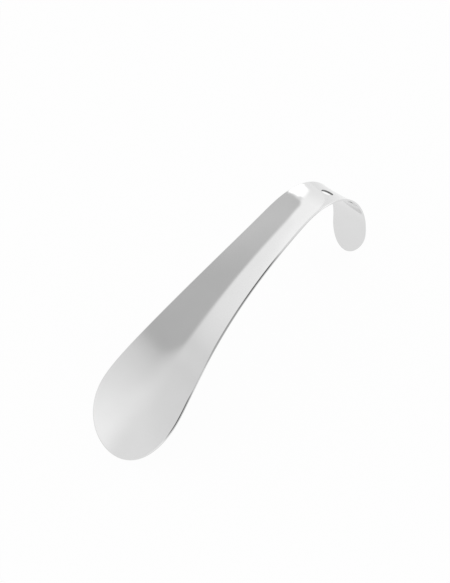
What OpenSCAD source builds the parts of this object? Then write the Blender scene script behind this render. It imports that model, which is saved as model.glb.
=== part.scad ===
// Short metal shoehorn with a hooked end, pressed from one strip of sheet steel.
// It stands on the tip of its blade and the end of its hook, with the open side of the trough upwards.
// The origin is under the middle of its box; +X runs from the blade to the hook, and +Z is up.

/* [Sheet] */
// Thickness of the steel sheet
sheet = 0.8; // [0.5:0.1:1.5]

/* [Blade] */
// Width of the blade at its widest
blade_w = 37.4; // [30:0.2:46]
// Length of the rounded tip, back to the widest place
tip_len = 23; // [16:0.5:30]
// Reach of the shoulder that holds the blade wide behind the tip
shoulder = 15; // [8:1:30]
// Depth of the trough pressed along the blade and the handle
trough_depth = 2.6; // [1:0.1:5]

/* [Handle] */
// Length along the strip from the tip to the start of the hook
body_len = 119.2; // [100:0.1:150]
// Reach of the slender neck that holds the handle narrow before the hook
neck = 82; // [40:1:95]
// Radius of the lengthwise bow at the tip
bow_tip_r = 100; // [80:1:400]
// Radius of the lengthwise bow at the start of the hook
bow_neck_r = 1000; // [200:10:2000]

/* [Hook] */
// Radius of the hook at the middle of the sheet
hook_r = 36; // [24:0.5:45]
// Angle that the hook turns through, in degrees
hook_turn = 121; // [90:1:150]
// Length along the strip over which the bow passes into the hook
bend_ease = 6; // [2:0.5:14]
// Distance past the start of the hook at which the strip stops tapering
taper_run = 28; // [15:0.5:45]
// Width of the hook's tongue
tongue_w = 16.8; // [12:0.2:22]
// Length of the tongue's rounded end
tongue_end = 12.5; // [6:0.5:14]
// Distance before the hook at which the trough starts to run out
fade_lead = 4; // [0:1:30]
// Length along the strip over which the trough runs out
fade_len = 56; // [30:1:90]

/* [Hanging hole] */
// Diameter of the hanging hole
hole_d = 5; // [3:0.1:7]
// Distance of the hole past the start of the hook, along the strip
hole_run = 26; // [12:0.5:50]

/* [Hidden] */

// Stations across and along the strip
across = 12;
tip_steps = 12;
body_steps = 30;
hook_steps = 32;
end_steps = 10;

// Halvings in each search by bisection
halvings = 30;

// Tilts between which the standing tilt is searched, in degrees
tilt_low = -20;
tilt_high = 70;

strip_len = body_len + hook_r * hook_turn * PI / 180;
taper_end = body_len + taper_run;
hook_start = body_len - bend_ease / 2;
end_start = strip_len - tongue_end;

function mix(a, b, share) = a + (b - a) * share;
function unit(value) = max(0, min(1, value));
function cubic(a, b, c, d, t) =
    a * pow(1 - t, 3) + 3 * b * t * pow(1 - t, 2) + 3 * c * t * t * (1 - t) + d * pow(t, 3);

// Bend of the strip per millimetre at a distance from the tip: a slackening bow, then the hook
function bend(along) =
    let (bow = mix(1 / bow_tip_r, 1 / bow_neck_r, unit(along / body_len)))
    mix(bow, 1 / hook_r, unit((along - hook_start) / bend_ease));

// Share of the taper's curve that lies before a distance from the tip
function taper_share(along, low = 0, high = 1, left = halvings) =
    let (middle = (low + high) / 2)
    left == 0 ? middle
    : cubic(tip_len, tip_len + shoulder, taper_end - neck, taper_end, middle) < along
        ? taper_share(along, middle, high, left - 1)
        : taper_share(along, low, middle, left - 1);

// Half width of the strip before its two ends are rounded
function body_half(along) =
    along <= tip_len ? blade_w / 2
    : along >= taper_end ? tongue_w / 2
    : cubic(blade_w / 2, blade_w / 2, tongue_w / 2, tongue_w / 2, taper_share(along));

// Elliptical rounding: the half width falls from full to nothing over the length of the end
function rounding(past, length) = sqrt(1 - pow(unit(past / length), 2));
function half_width(along) =
    body_half(along) * rounding(tip_len - along, tip_len) * rounding(along - end_start, tongue_end);

// Curvature of the trough across the strip: a circular arc as deep as the trough at that place
function trough_bend(along) =
    let (
        fade = unit((along - body_len + fade_lead) / fade_len),
        depth = trough_depth * (1 + cos(180 * fade)) / 2
    )
    2 * depth / (pow(body_half(along), 2) + pow(depth, 2));

// Distances from the tip at which the strip is drawn, closer where its outline turns
stations = [
    for (i = [0 : tip_steps]) tip_len * (1 - cos(90 * i / tip_steps)),
    for (i = [1 : body_steps]) mix(tip_len, hook_start, i / body_steps),
    for (i = [1 : hook_steps]) mix(hook_start, end_start, i / hook_steps),
    for (i = [1 : end_steps]) end_start + tongue_end * sin(90 * i / end_steps)
];
last = len(stations) - 1;

// Middle line of the strip as [x, z, angle] at each station, with the tip at the start
line = [
    for (
        i = 0, x = 0, z = 0, angle = 0;
        i <= last;
        step = i < last ? stations[i + 1] - stations[i] : 0,
        turn = bend(stations[i] + step / 2) * step * 180 / PI,
        x = x + step * cos(angle - turn / 2),
        z = z + step * sin(angle - turn / 2),
        angle = angle - turn,
        i = i + 1
    ) [x, z, angle]
];

// Point of the sheet at station i: side runs from -1 to 1 across, lift is measured from its middle
function sheet_point(i, side, lift) =
    let (
        y = side * half_width(stations[i]),
        lean = trough_bend(stations[i]) * y,
        upright = sqrt(1 - lean * lean),
        rise = lean * y / (1 + upright) + lift * upright,
        at = line[i]
    )
    [at.x - rise * sin(at.z), y - lift * lean, at.y + rise * cos(at.z)];

// Rows of one skin from station to station
function skin(lift, from, to) = [
    for (i = [from : to]) for (j = [0 : across]) sheet_point(i, 2 * j / across - 1, lift)
];
function both_skins(from, to) = concat(skin(sheet / 2, from, to), skin(-sheet / 2, from, to));
function skin_ends(lift) = [sheet_point(0, 0, lift), sheet_point(last, 0, lift)];

raw_points = concat(both_skins(1, last - 1), skin_ends(sheet / 2), skin_ends(-sheet / 2));

// Tilt at which the blade and the hook's end stand at the same height
blade_points = both_skins(0, tip_steps);
hook_points = both_skins(tip_steps + body_steps, last);
function height(p, tilt) = p.x * sin(tilt) + p.z * cos(tilt);
function lowest(points, tilt) = min([for (p = points) height(p, tilt)]);
function standing_tilt(low = tilt_low, high = tilt_high, left = halvings) =
    let (middle = (low + high) / 2)
    left == 0 ? middle
    : lowest(blade_points, middle) > lowest(hook_points, middle)
        ? standing_tilt(middle, high, left - 1)
        : standing_tilt(low, middle, left - 1);
tilt = standing_tilt();

// Standing place: tilted, over the middle of its box, on the ground
function tilted(p) = [p.x * cos(tilt) - p.z * sin(tilt), p.y, height(p, tilt)];
tilted_points = [for (p = raw_points) tilted(p)];
ground = min([for (p = tilted_points) p.z]);
middle_x = (min([for (p = tilted_points) p.x]) + max([for (p = tilted_points) p.x])) / 2;
home = [-middle_x, 0, -ground];
strip_points = [for (p = tilted_points) p + home];

// Hanging hole: on the middle line, square to the sheet
hole_along = body_len + hole_run;
hole_x = lookup(hole_along, [for (i = [0 : last]) [stations[i], line[i].x]]);
hole_z = lookup(hole_along, [for (i = [0 : last]) [stations[i], line[i].y]]);
hole_angle = lookup(hole_along, [for (i = [0 : last]) [stations[i], line[i].z]]);
hole_place = tilted([hole_x, 0, hole_z]) + home;
hole_depth = 4 * sheet;

// Numbers of the corners: upper skin, lower skin, then the upper and lower end points
row = across + 1;
skin_size = (last - 1) * row;
function upper(i, j) = i == 0 ? 2 * skin_size : i == last ? 2 * skin_size + 1 : (i - 1) * row + j;
function lower(i, j) = i == 0 || i == last ? upper(i, j) + 2 : upper(i, j) + skin_size;

function is_flat(face) = face[0] == face[1] || face[1] == face[2] || face[2] == face[0];
function halves(a, b, c, d) = [for (face = [[a, b, c], [a, c, d]]) if (!is_flat(face)) face];
strip_faces = [
    for (i = [0 : last - 1], j = [0 : across - 1])
        each halves(upper(i, j), upper(i, j + 1), upper(i + 1, j + 1), upper(i + 1, j)),
    for (i = [0 : last - 1], j = [0 : across - 1])
        each halves(lower(i, j), lower(i + 1, j), lower(i + 1, j + 1), lower(i, j + 1)),
    for (i = [0 : last - 1])
        each halves(lower(i, 0), upper(i, 0), upper(i + 1, 0), lower(i + 1, 0)),
    for (i = [0 : last - 1])
        each halves(lower(i, across), lower(i + 1, across), upper(i + 1, across), upper(i, across))
];

// The whole shoehorn: blade, handle and hook in one bent strip, with the hole drilled through the hook
module shoehorn() {
    color("silver")
    difference() {
        polyhedron(strip_points, strip_faces);
        translate(hole_place)
        rotate([0, -hole_angle - tilt, 0])
        cylinder(h = hole_depth, d = hole_d, center = true, $fn = 48);
    }
}

shoehorn();
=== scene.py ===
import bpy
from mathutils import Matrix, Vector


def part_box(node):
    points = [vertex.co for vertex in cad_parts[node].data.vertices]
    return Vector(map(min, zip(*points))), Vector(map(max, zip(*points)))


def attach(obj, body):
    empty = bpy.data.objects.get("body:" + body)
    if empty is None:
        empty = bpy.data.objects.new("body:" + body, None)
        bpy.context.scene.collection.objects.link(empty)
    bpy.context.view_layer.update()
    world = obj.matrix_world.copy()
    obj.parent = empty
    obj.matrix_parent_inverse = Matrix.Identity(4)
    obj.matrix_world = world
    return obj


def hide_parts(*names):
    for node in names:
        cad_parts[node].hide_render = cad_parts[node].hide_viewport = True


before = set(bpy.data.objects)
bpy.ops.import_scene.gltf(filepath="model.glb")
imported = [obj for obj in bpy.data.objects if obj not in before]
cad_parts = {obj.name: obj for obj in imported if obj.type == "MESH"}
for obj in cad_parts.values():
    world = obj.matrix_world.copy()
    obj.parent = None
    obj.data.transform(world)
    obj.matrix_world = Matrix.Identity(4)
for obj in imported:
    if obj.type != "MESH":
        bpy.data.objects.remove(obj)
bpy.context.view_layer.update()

import bmesh
import bpy
import numpy as np
from mathutils import Matrix, Vector

# The shoehorn is one strip of steel sheet, blanked to its outline, pressed into a shallow trough,
# bent into a bow with a hook at the end, drilled for hanging and polished. Its edges are rounded, and the
# near one, towards -Y, is bevelled and darker in places. Sizes are in millimetres, along the strip and
# across it.
metre = 1000.0
sheet = 0.8
blade_width = 37.4
tip_length = 23.0
shoulder = 15.0
trough_depth = 2.6
body_length = 119.2
neck = 82.0
bow_tip_radius = 100.0
bow_neck_radius = 1000.0
hook_radius = 36.0
hook_turn = np.radians(121.0)
bend_ease = 6.0
taper_run = 28.0
tongue_width = 16.8
tongue_end = 12.5
fade_lead = 4.0
fade_length = 56.0
hole_radius = 2.5
hole_run = 26.0
standing_tilt = np.radians(48.109)

strip_length = body_length + hook_radius * hook_turn
taper_end = body_length + taper_run
end_start = strip_length - tongue_end
hole_along = body_length + hole_run


def running_sum(values, steps):
    """Area under values from the first step up to each step, by trapezia."""
    slices = (values[1:] + values[:-1]) / 2 * np.diff(steps)
    return np.concatenate([[0.0], np.cumsum(slices)])


# Middle line: the bow slackens evenly towards the hook, and the hook is an arc that the bow eases into
line_steps = 4001
steps = np.linspace(0.0, strip_length, line_steps)
bow_share = np.clip(steps / body_length, 0, 1)
bow = 1 / bow_tip_radius + (1 / bow_neck_radius - 1 / bow_tip_radius) * bow_share
hook_share = np.clip((steps - body_length) / bend_ease + 0.5, 0, 1)
bend = bow + (1 / hook_radius - bow) * hook_share
line_angle = standing_tilt - running_sum(bend, steps)
line_x = running_sum(np.cos(line_angle), steps)
line_z = running_sum(np.sin(line_angle), steps)


def cubic(a, b, c, d, share):
    """Cubic curve from a to d with the two inner controls b and c."""
    rest = 1 - share
    return a * rest**3 + 3 * b * share * rest**2 + 3 * c * share**2 * rest + d * share**3


taper_steps = 401
taper_share = np.linspace(0, 1, taper_steps)
taper_along = cubic(tip_length, tip_length + shoulder, taper_end - neck, taper_end, taper_share)
taper_half = cubic(blade_width / 2, blade_width / 2, tongue_width / 2, tongue_width / 2, taper_share)


def body_half(along):
    """Half width before the ends are rounded: the blade's, then the taper's curve, then the tongue's."""
    return np.interp(along, taper_along, taper_half)


def outline_half(along):
    """Half width of the blank: the body's, closed by half an ellipse at the tip and at the tongue's end."""
    tip = np.sqrt(1 - np.clip((tip_length - along) / tip_length, 0, 1) ** 2)
    end = np.sqrt(1 - np.clip((along - end_start) / tongue_end, 0, 1) ** 2)
    return body_half(along) * tip * end


def sheet_place(along, across, lift):
    """Point of the bent sheet in metres: a circular trough across the middle line, lift square to the sheet.
    The trough's depth fades out along the hook by half a cosine wave."""
    fade = np.clip((along - body_length + fade_lead) / fade_length, 0, 1)
    depth = trough_depth * (1 + np.cos(np.pi * fade)) / 2
    lean = across * 2 * depth / (body_half(along) ** 2 + depth**2)
    upright = np.sqrt(1 - lean**2)
    rise = lean * across / (1 + upright) + lift * upright
    angle = np.interp(along, steps, line_angle)
    x = np.interp(along, steps, line_x) - rise * np.sin(angle)
    z = np.interp(along, steps, line_z) + rise * np.cos(angle)
    return np.stack([x, across - lift * lean, z], -1) / metre


# Stations down the blank's outline, and the way inwards from its edge, which is along the strip at both ends
tip_rows = 41
body_rows = 331
end_rows = 25
tip_turn = np.linspace(0, np.pi / 2, tip_rows)
end_turn = np.linspace(0, np.pi / 2, end_rows)[1:]
stations = np.concatenate([
    tip_length * (1 - np.cos(tip_turn)),
    np.linspace(tip_length, end_start, body_rows)[1:],
    end_start + tongue_end * np.sin(end_turn),
])
half = outline_half(stations)
run = np.gradient(stations)
spread = np.gradient(half)
inward_along, inward_across = np.stack([spread, -run]) / np.hypot(run, spread)
inward_along[[0, -1]] = 1, -1
inward_across[[0, -1]] = 0


def along_strip(places, shares):
    """Share at every station, as a column, in straight runs between places along the strip."""
    return np.interp(stations, places, shares)[:, None]


rim_steps = 8


def rounded_rim(radius, reach, flat):
    """Inset and lift down a rounded edge: a quarter ellipse off the upper skin, flattened towards its chord
    as a bevel is, then a quarter circle to the lower skin."""
    turn = np.linspace(0, np.pi / 2, rim_steps)
    chord = np.linspace(0, 1, rim_steps)
    bevel_inset = (1 - flat) * (1 - np.sin(turn)) + flat * (1 - chord)
    bevel_drop = (1 - flat) * (1 - np.cos(turn)) + flat * chord
    round_inset = np.broadcast_to(radius * (1 - np.sin(turn[::-1])), np.shape(reach * bevel_inset))
    round_lift = np.broadcast_to(radius * (1 - np.cos(turn[::-1])), round_inset.shape) - sheet / 2
    inset = np.concatenate([reach * bevel_inset, round_inset], -1)
    return inset, np.concatenate([sheet / 2 - radius * bevel_drop, round_lift], -1)


# Edges: the near one is soft at the tip, bevelled along most of the body, and crisp at a gap in the blade
# and down the hook; the far one is soft, and crisp where the bend starts
soft_rim = 0.38
crisp_rim = 0.18
bevel_reach = 0.7
bevel_flat = 0.8
bevel_places = [15, 19, 33, 38, 46, 56, 128, 138]
bevel_shares = [0, 1, 1, 0, 0, 1, 1, 0]
far_places = [108, 116, 136, 146]
far_shares = [1, 0, 0, 1]
bevelled = along_strip(bevel_places, bevel_shares)
softened = along_strip(bevel_places[2:], bevel_shares[2:])
near_radius = crisp_rim + (soft_rim - crisp_rim) * softened
near_reach = near_radius + (bevel_reach - near_radius) * bevelled
near_inset, near_lift = rounded_rim(near_radius, near_reach, bevel_flat * bevelled)
far_radius = crisp_rim + (soft_rim - crisp_rim) * along_strip(far_places, far_shares)
far_inset, far_lift = rounded_rim(far_radius, far_radius, 0)
near_along = stations[:, None] + near_inset * inward_along[:, None]
near_across = half[:, None] + near_inset * inward_across[:, None]
far_along = stations[:, None] + far_inset * inward_along[:, None]
far_across = half[:, None] + far_inset * inward_across[:, None]

# One closed loop round the sheet at each station: upper skin, far rim, lower skin, near rim
columns = 49
skin_inset = 0.85
side = np.linspace(-1, 1, columns)
skin_along = np.repeat((stations + skin_inset * inward_along)[:, None], columns, 1)
skin_across = (half + skin_inset * inward_across)[:, None] * side
skin_lift = np.full(skin_along.shape, sheet / 2)
loop_along = np.hstack([skin_along, far_along, skin_along[:, ::-1], near_along[:, ::-1]])
loop_across = np.hstack([skin_across, far_across, skin_across[:, ::-1], -near_across[:, ::-1]])
loop_lift = np.hstack([skin_lift, far_lift, -skin_lift, near_lift[:, ::-1]])

# Darker rims: the bevel is darker and rougher in a band down the middle of it. The inside of the hook is
# painted lighter and made smoother, a painted brighter reflection, which counts as a negative darkening.
dark_places = [15, 20, 26, 34, 40, 56, 70, 80, 95, 103, 125, 135, 139]
dark_shares = [0, 1.1, 1.35, 1.05, 0.2, 0.2, 0.6, 1.25, 1.4, 0.3, 0.2, 0.2, 0]
band_places = [-0.8, -0.5, 0.1, 0.5]
band_shares = [0, 1, 1, 0]
# Painted light: the inside of the hook gets a lighter colour, standing in for a brighter reflection there
painted_light_places = [148, 153, 160, 165]
painted_light_shares = [0, 0.4, 0.4, 0]
dark_band = np.interp(np.linspace(-1, 1, rim_steps), band_places, band_shares)
near_darkening = along_strip(dark_places, dark_shares) * np.concatenate([dark_band, 0 * dark_band])
painted_inside_light = along_strip(painted_light_places, painted_light_shares) + 0 * skin_lift
loop_marks = np.hstack([0 * skin_lift, 0 * far_lift, -painted_inside_light, near_darkening[:, ::-1]])


def grid_faces(numbers):
    """Four corners of every cell of a grid of vertex numbers, row by row."""
    corners = numbers[:-1, :-1], numbers[1:, :-1], numbers[1:, 1:], numbers[:-1, 1:]
    return np.stack(corners, -1)


numbers = np.arange(loop_along.size).reshape(loop_along.shape)
strip_cells = grid_faces(np.hstack([numbers, numbers[:, :1]]))

# The hole takes a block of cells out of both skins, and a ring of cells fills the block up to its rim
block_reach = 1.6 * hole_radius
block_columns_reach = 11
row_low = np.searchsorted(stations, hole_along - block_reach)
row_high = np.searchsorted(stations, hole_along + block_reach)
column_low = columns // 2 - block_columns_reach
column_high = columns // 2 + block_columns_reach
lower_skin = columns + far_lift.shape[1]
kept = np.ones(strip_cells.shape[:2], bool)
kept[row_low:row_high, column_low:column_high] = False
kept[row_low:row_high, lower_skin + column_low:lower_skin + column_high] = False
rows_up = np.arange(row_low, row_high)
columns_up = np.arange(column_low, column_high)
block_rows = np.concatenate([
    rows_up, np.full(columns_up.size, row_high), rows_up[::-1] + 1, np.full(columns_up.size, row_low)
])
block_columns = np.concatenate([
    np.full(rows_up.size, column_low), columns_up, np.full(rows_up.size, column_high), columns_up[::-1] + 1
])
block_along = skin_along[block_rows, block_columns]
block_across = skin_across[block_rows, block_columns]
block_turn = np.arctan2(block_across, block_along - hole_along)

# Loops of the ring: from the block in to the rim on the upper skin, down the wall, and out again below
hole_rim = 0.15
ring_steps = 6
share = np.linspace(0, 1, ring_steps)[:, None]
outer_radius = hole_radius + 2 * hole_rim
ring_along = block_along * (1 - share) + (hole_along + outer_radius * np.cos(block_turn)) * share
ring_across = block_across * (1 - share) + outer_radius * np.sin(block_turn) * share
bore_inset, bore_lift = rounded_rim(hole_rim, hole_rim, 0)
bore_along = hole_along + (hole_radius + bore_inset)[:, None] * np.cos(block_turn)
bore_across = (hole_radius + bore_inset)[:, None] * np.sin(block_turn)
ring_along = np.vstack([ring_along, bore_along, ring_along[::-1]])
ring_across = np.vstack([ring_across, bore_across, ring_across[::-1]])
ring_skin = np.full(ring_steps, sheet / 2)
ring_lift = np.concatenate([ring_skin, bore_lift, -ring_skin])[:, None]
ring_lift = np.broadcast_to(ring_lift, ring_along.shape)
bore_darkening = np.clip((hole_rim - bore_inset) / hole_rim, 0, 1)
ring_darkening = np.concatenate([0 * ring_skin, bore_darkening, 0 * ring_skin])[:, None]
ring_darkening = np.broadcast_to(ring_darkening, ring_along.shape)
ring_numbers = numbers.size + np.arange(ring_along.size).reshape(ring_along.shape)
ring_cells = grid_faces(np.hstack([ring_numbers, ring_numbers[:, :1]]))

# The strip stands under the top of its CAD solid, over the middle of it
all_along = np.concatenate([loop_along.ravel(), ring_along.ravel()])
all_across = np.concatenate([loop_across.ravel(), ring_across.ravel()])
all_lift = np.concatenate([loop_lift.ravel(), ring_lift.ravel()])
all_marks = np.concatenate([loop_marks.ravel(), ring_darkening.ravel()])
points = sheet_place(all_along, all_across, all_lift)
node_low, node_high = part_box("shoehorn")
points[:, 0] += (node_low.x + node_high.x - points[:, 0].min() - points[:, 0].max()) / 2
points[:, 2] += node_high.z - points[:, 2].max()
cells = np.concatenate([strip_cells[kept], ring_cells.reshape(-1, 4)])

same_place = 1e-7
shoehorn_mesh = bpy.data.meshes.new("polished_shoehorn")
shoehorn_mesh.from_pydata(points, [], cells.tolist())
# One layer carries the rims' darkening, and the painted light inside the hook as negative values
layers = {"strip_along": all_along / metre, "strip_across": all_across / metre, "dark_rims_and_painted_light": all_marks}
for name, values in layers.items():
    layer = shoehorn_mesh.attributes.new(name, "FLOAT", "POINT")
    layer.data.foreach_set("value", values.astype(np.float32))
welded = bmesh.new()
welded.from_mesh(shoehorn_mesh)
bmesh.ops.remove_doubles(welded, verts=welded.verts, dist=same_place)
bmesh.ops.recalc_face_normals(welded, faces=welded.faces)
welded.to_mesh(shoehorn_mesh)
welded.free()
shoehorn_mesh.shade_smooth()

# Polished steel: nearly a mirror, with faint polishing lines down the strip and slightly uneven gloss.
# The darker band on the bevel and in the bore makes it darker and rougher. The painted light inside the hook
# makes it lighter, a painted brighter reflection, and also smoother.
line_stretch = (60, 5000, 1)
line_detail = 3.0
cloud_scale = 90.0
cloud_detail = 4.0
noise_low = 0.3
noise_high = 0.7
line_roughness = 0.085, 0.115
cloud_roughness = -0.015, 0.015
mark_roughness = 0.2
face_tint = 0.705, 0.725
mark_tint = -0.5
grain_strength = 0.02
grain_depth = 0.0001
steel = bpy.data.materials.new("polished_steel")
steel.use_nodes = True
steel_tree = steel.node_tree
shader = steel_tree.nodes["Principled BSDF"]
shader.inputs["Metallic"].default_value = 1.0


def add_node(tree, kind, values=None, **settings):
    """A new node with its settings, and with its inputs set to numbers or linked from other sockets."""
    made = tree.nodes.new(kind)
    for name, value in settings.items():
        setattr(made, name, value)
    for name, value in (values or {}).items():
        if isinstance(value, bpy.types.NodeSocket):
            tree.links.new(value, made.inputs[name])
        else:
            made.inputs[name].default_value = value
    return made


def math_node(tree, operation, *values):
    """Result of one sum on numbers and sockets, by the name of its operation."""
    return add_node(tree, "ShaderNodeMath", dict(enumerate(values)), operation=operation).outputs[0]


def strip_value(name):
    """Value of one of the strip's own attributes."""
    return add_node(steel_tree, "ShaderNodeAttribute", attribute_name=name).outputs["Fac"]


def steel_noise(place, scale, detail):
    """Cloudy noise at a place, mostly between noise_low and noise_high."""
    values = {"Vector": place, "Scale": scale, "Detail": detail}
    return add_node(steel_tree, "ShaderNodeTexNoise", values).outputs["Fac"]


def spread_over(value, span):
    """Noise stretched from its usual span over another span."""
    low, high = span
    values = {"Value": value, "From Min": noise_low, "From Max": noise_high, "To Min": low, "To Max": high}
    return add_node(steel_tree, "ShaderNodeMapRange", values).outputs[0]


def with_marks(value, gain):
    """A value of the sound face, changed by the rims' darkening and by the painted light inside the hook,
    times a gain.
    """
    return math_node(steel_tree, "MULTIPLY_ADD", strip_value("dark_rims_and_painted_light"), gain, value)


spot = add_node(steel_tree, "ShaderNodeTexCoord").outputs["Object"]
strip_values = {"X": strip_value("strip_along"), "Y": strip_value("strip_across")}
strip_spot = add_node(steel_tree, "ShaderNodeCombineXYZ", strip_values).outputs[0]
line_values = {"Vector": strip_spot, "Scale": line_stretch}
line_spot = add_node(steel_tree, "ShaderNodeMapping", line_values).outputs[0]
lines = steel_noise(line_spot, 1.0, line_detail)
clouds = steel_noise(spot, cloud_scale, cloud_detail)
line_part = spread_over(lines, line_roughness)
cloud_part = spread_over(clouds, cloud_roughness)
roughness = math_node(steel_tree, "ADD", line_part, cloud_part)
tint = spread_over(clouds, face_tint)
grain_values = {"Strength": grain_strength, "Distance": grain_depth, "Height": lines}
grain = add_node(steel_tree, "ShaderNodeBump", grain_values).outputs[0]
steel_tree.links.new(with_marks(roughness, mark_roughness), shader.inputs["Roughness"])
# Base colour: darker on the rims, and lighter inside the hook, where it is a painted brighter reflection
steel_tree.links.new(with_marks(tint, mark_tint), shader.inputs["Base Color"])
steel_tree.links.new(grain, shader.inputs["Normal"])

shoehorn_mesh.materials.append(steel)
shoehorn = bpy.data.objects.new("polished_shoehorn", shoehorn_mesh)
bpy.context.scene.collection.objects.link(shoehorn)
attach(shoehorn, "root")
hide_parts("shoehorn")

# Floor: a wide sheet of matt white card that the shoehorn stands on. The camera and the metal see it white,
# apart from the shoehorn's own soft shadow.
floor_reach = 4.0
card_colour = (0.9, 0.9, 0.9, 1)
whiteness = 0.95
floor_mesh = bpy.data.meshes.new("floor_card")
corners = floor_reach * np.array([[-1, -1, 0], [1, -1, 0], [1, 1, 0], [-1, 1, 0]])
floor_mesh.from_pydata(corners, [], [[0, 1, 2, 3]])
card = bpy.data.materials.new("white_card")
card.use_nodes = True
card_tree = card.node_tree
card_tree.nodes.remove(card_tree.nodes["Principled BSDF"])
matt = add_node(card_tree, "ShaderNodeBsdfDiffuse", {"Color": card_colour}).outputs[0]
white = add_node(card_tree, "ShaderNodeEmission", {"Color": (1, 1, 1, 1), "Strength": 1.0}).outputs[0]
light_path = add_node(card_tree, "ShaderNodeLightPath").outputs
seen = math_node(card_tree, "ADD", light_path["Is Camera Ray"], light_path["Is Glossy Ray"])
seen = math_node(card_tree, "MAXIMUM", seen, light_path["Is Transmission Ray"])
white_share = math_node(card_tree, "MULTIPLY", seen, whiteness)
card_face = add_node(card_tree, "ShaderNodeMixShader", {0: white_share, 1: matt, 2: white}).outputs[0]
card_tree.links.new(card_face, card_tree.nodes["Material Output"].inputs["Surface"])
floor_mesh.materials.append(card)
floor = bpy.data.objects.new("floor_card", floor_mesh)
bpy.context.scene.collection.objects.link(floor)

# Studio: a white tent all round, with a wide grey panel overhead, a white lamp past the panel's end and a
# duller near side. A direction is given in degrees from straight up, split into its shares along X and Y.
# An ease lists where a smooth step starts and stops, and then its results before and after.
studio = bpy.data.worlds.new("studio_tent")
studio.use_nodes = True
bpy.context.scene.world = studio
studio_tree = studio.node_tree


def studio_math(operation, *values):
    """Result of one sum on the studio's numbers."""
    return math_node(studio_tree, operation, *values)


def eased(value, low, high, low_result, high_result):
    """Smooth step of a value from low to high, giving low_result before it and high_result after it."""
    values = {"Value": value, "From Min": low, "From Max": high, "To Min": low_result, "To Max": high_result}
    return add_node(studio_tree, "ShaderNodeMapRange", values, interpolation_type="SMOOTHSTEP").outputs[0]


def eased_sum(value, eases):
    """Sum of several smooth steps of one value."""
    total = eased(value, *eases[0])
    for ease in eases[1:]:
        total = studio_math("ADD", total, eased(value, *ease))
    return total


ramp_low = -60.0
ramp_high = 100.0


def brightness_along(angle, stops):
    """Brightness by an angle, in straight runs between stops that each pair an angle with a brightness."""
    values = {"Value": angle, "From Min": ramp_low, "From Max": ramp_high}
    place = add_node(studio_tree, "ShaderNodeMapRange", values).outputs[0]
    ramp = add_node(studio_tree, "ShaderNodeValToRGB", {"Fac": place})
    marks = ramp.color_ramp.elements
    marks.remove(marks[1])
    for number, (stop, bright) in enumerate(stops):
        position = (stop - ramp_low) / (ramp_high - ramp_low)
        mark = marks.new(position) if number else marks[0]
        mark.position = position
        mark.color = bright, bright, bright, 1
    return ramp.outputs["Color"]


def blended(first, second, share):
    """Brightness that passes from the first to the second as the share goes from 0 to 1."""
    gain = studio_math("MULTIPLY", share, studio_math("SUBTRACT", second, first))
    return studio_math("ADD", first, gain)


smallest_level = 0.0001
direction = add_node(studio_tree, "ShaderNodeTexCoord").outputs["Generated"]
heading = add_node(studio_tree, "ShaderNodeSeparateXYZ", {0: direction}).outputs
from_top = studio_math("DEGREES", studio_math("ARCCOSINE", heading["Z"]))
x_square = studio_math("MULTIPLY", heading["X"], heading["X"])
y_square = studio_math("MULTIPLY", heading["Y"], heading["Y"])
level = studio_math("SQRT", studio_math("ADD", x_square, y_square))
turn_share = studio_math("DIVIDE", from_top, studio_math("MAXIMUM", level, smallest_level))
angle_x = studio_math("MULTIPLY", heading["X"], turn_share)
angle_y = studio_math("MULTIPLY", heading["Y"], turn_share)

# Tent: brightest towards the hook, hung a little askew, with a fold low down on the far side
tent_middle = 38.0
tent_skew = 0.1
tent_stops = [
    (-45, 0.97), (-18, 0.845), (-15, 0.88), (-10, 0.855), (-7, 0.935), (2, 1.03),
    (18, 1.12), (24, 1.2), (54, 1.2), (62, 1.15), (70, 1.09), (80, 1.06),
]
fold_ease_y = (54.0, 68.0, 0.0, 14.0)
fold_ease_x = (40.0, 60.0, 0.0, 1.0)
tent_lean = studio_math("MULTIPLY", studio_math("SUBTRACT", angle_y, tent_middle), tent_skew)
fold = studio_math("MULTIPLY", eased(angle_y, *fold_ease_y), eased(angle_x, *fold_ease_x))
tent_angle = studio_math("SUBTRACT", studio_math("SUBTRACT", angle_x, tent_lean), fold)
tent = brightness_along(tent_angle, tent_stops)

# Panel: darkest at its blade end, which hangs askew with its far corner cut back, and with a halo past
# its hook end
panel_middle = 4.5
panel_skew = 0.14
panel_stops = [
    (-55, 1.16), (-41, 1.03), (-28, 0.835), (-23.8, 0.72), (-21.2, 0.565),
    (-11, 0.6), (4, 0.6), (15, 0.72), (44.5, 0.69),
]
halo_stops = [(45.5, 0.0), (45.6, 0.69), (47.5, 0.88), (52, 1.0), (80, 1.08)]
corner_ease_y = (15.0, 40.0, 0.0, 9.0)
corner_ease_x = (-10.0, 20.0, 1.0, 0.0)
halo_ease = (-3.0, 5.0, -0.7, 0.7)
panel_lean = studio_math("MULTIPLY", studio_math("SUBTRACT", angle_y, panel_middle), panel_skew)
corner = studio_math("MULTIPLY", eased(angle_y, *corner_ease_y), eased(angle_x, *corner_ease_x))
panel_angle = studio_math("SUBTRACT", angle_x, studio_math("ADD", panel_lean, corner))
panel = brightness_along(panel_angle, panel_stops)
halo_angle = studio_math("ADD", angle_x, eased(angle_y, *halo_ease))
halo = brightness_along(halo_angle, halo_stops)

# Lamp: a soft white box past the panel's end, longer on its near side
lamp_strength = 1.5
lamp_softness = 2.0
start_eases = [(-18.0, -1.0, 46.3, 48.7), (4.0, 14.0, 0.0, 3.8)]
trim_ease = (3.0, 10.0, 6.0, 0.0)
end_ease = (72.5, 79.5, 1.0, 0.0)
past_start = studio_math("SUBTRACT", angle_x, eased_sum(angle_y, start_eases))
lamp_on = eased(past_start, -lamp_softness, lamp_softness, 0.0, lamp_strength)
before_end = studio_math("SUBTRACT", angle_x, eased(angle_y, *trim_ease))
lamp = studio_math("MULTIPLY", lamp_on, eased(before_end, *end_ease))
overhead = studio_math("MAXIMUM", studio_math("MAXIMUM", panel, halo), lamp)

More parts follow.
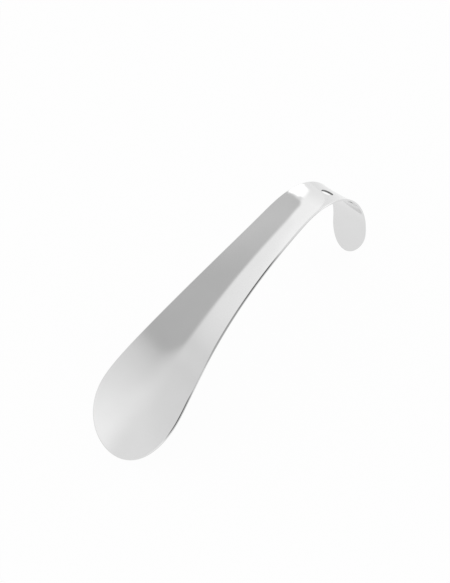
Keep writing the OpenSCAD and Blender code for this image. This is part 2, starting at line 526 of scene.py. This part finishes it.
# The panel's long far edge, beyond which the tent shows; it is softest at the blade end
edge_eases = [
    (-5.0, 38.0, 30.7, 25.0), (39.0, 50.0, 0.0, -8.0),
    (69.0, 85.0, 0.0, -12.0), (-44.0, -30.0, -5.0, 0.0),
]
softness_eases = [(-30.0, -16.0, 10.0, 2.8), (5.0, 20.0, 0.0, 2.4)]
beyond_edge = studio_math("SUBTRACT", angle_y, eased_sum(angle_x, edge_eases))
edge_share = studio_math("DIVIDE", beyond_edge, eased_sum(angle_x, softness_eases))
past_panel = eased(edge_share, -1.0, 1.0, 0.0, 1.0)

# Near side of the tent, low down in front of the panel
front_stops = [(-48, 1.05), (-40, 0.7), (24, 0.7), (34, 1.0), (54, 1.3), (72, 1.3), (78, 1.08)]
front_ease = (-36.0, -28.0, 1.0, 0.0)
front = brightness_along(angle_x, front_stops)
in_front = eased(angle_y, *front_ease)
brightness = blended(blended(overhead, tent, past_panel), front, in_front)
background = studio_tree.nodes["Background"]
background.inputs["Color"].default_value = 1, 1, 1, 1
studio_tree.links.new(brightness, background.inputs["Strength"])

# Camera: a long lens above the blade's side, looking down on the open side of the trough. It is placed
# by the point that it aims at, its turn, rise and roll, and its reach in metres.
image_width = 450
focal_pixels = 1970.0
camera_turn = np.radians(-50.67)
camera_rise = np.radians(45.82)
camera_roll = np.radians(0.44)
camera_reach = 0.7678
camera_aim = Vector((-0.00775, 0, 0.03779))
lens = bpy.data.cameras.new("photo_camera")
lens.sensor_fit = "HORIZONTAL"
lens.sensor_width = 36.0
lens.lens = lens.sensor_width * focal_pixels / image_width
level_right = Vector((np.cos(camera_turn), np.sin(camera_turn), 0))
level_back = Vector((np.sin(camera_turn), -np.cos(camera_turn), 0))
back = level_back * np.cos(camera_rise) + Vector((0, 0, np.sin(camera_rise)))
level_up = back.cross(level_right)
right = level_right * np.cos(camera_roll) + level_up * np.sin(camera_roll)
up = level_up * np.cos(camera_roll) - level_right * np.sin(camera_roll)
facing = Matrix((right, up, back)).transposed().to_4x4()
camera = bpy.data.objects.new("photo_camera", lens)
camera.matrix_world = Matrix.Translation(camera_aim + back * camera_reach) @ facing
bpy.context.scene.collection.objects.link(camera)
bpy.context.scene.camera = camera
bpy.context.scene.view_settings.view_transform = "Standard"
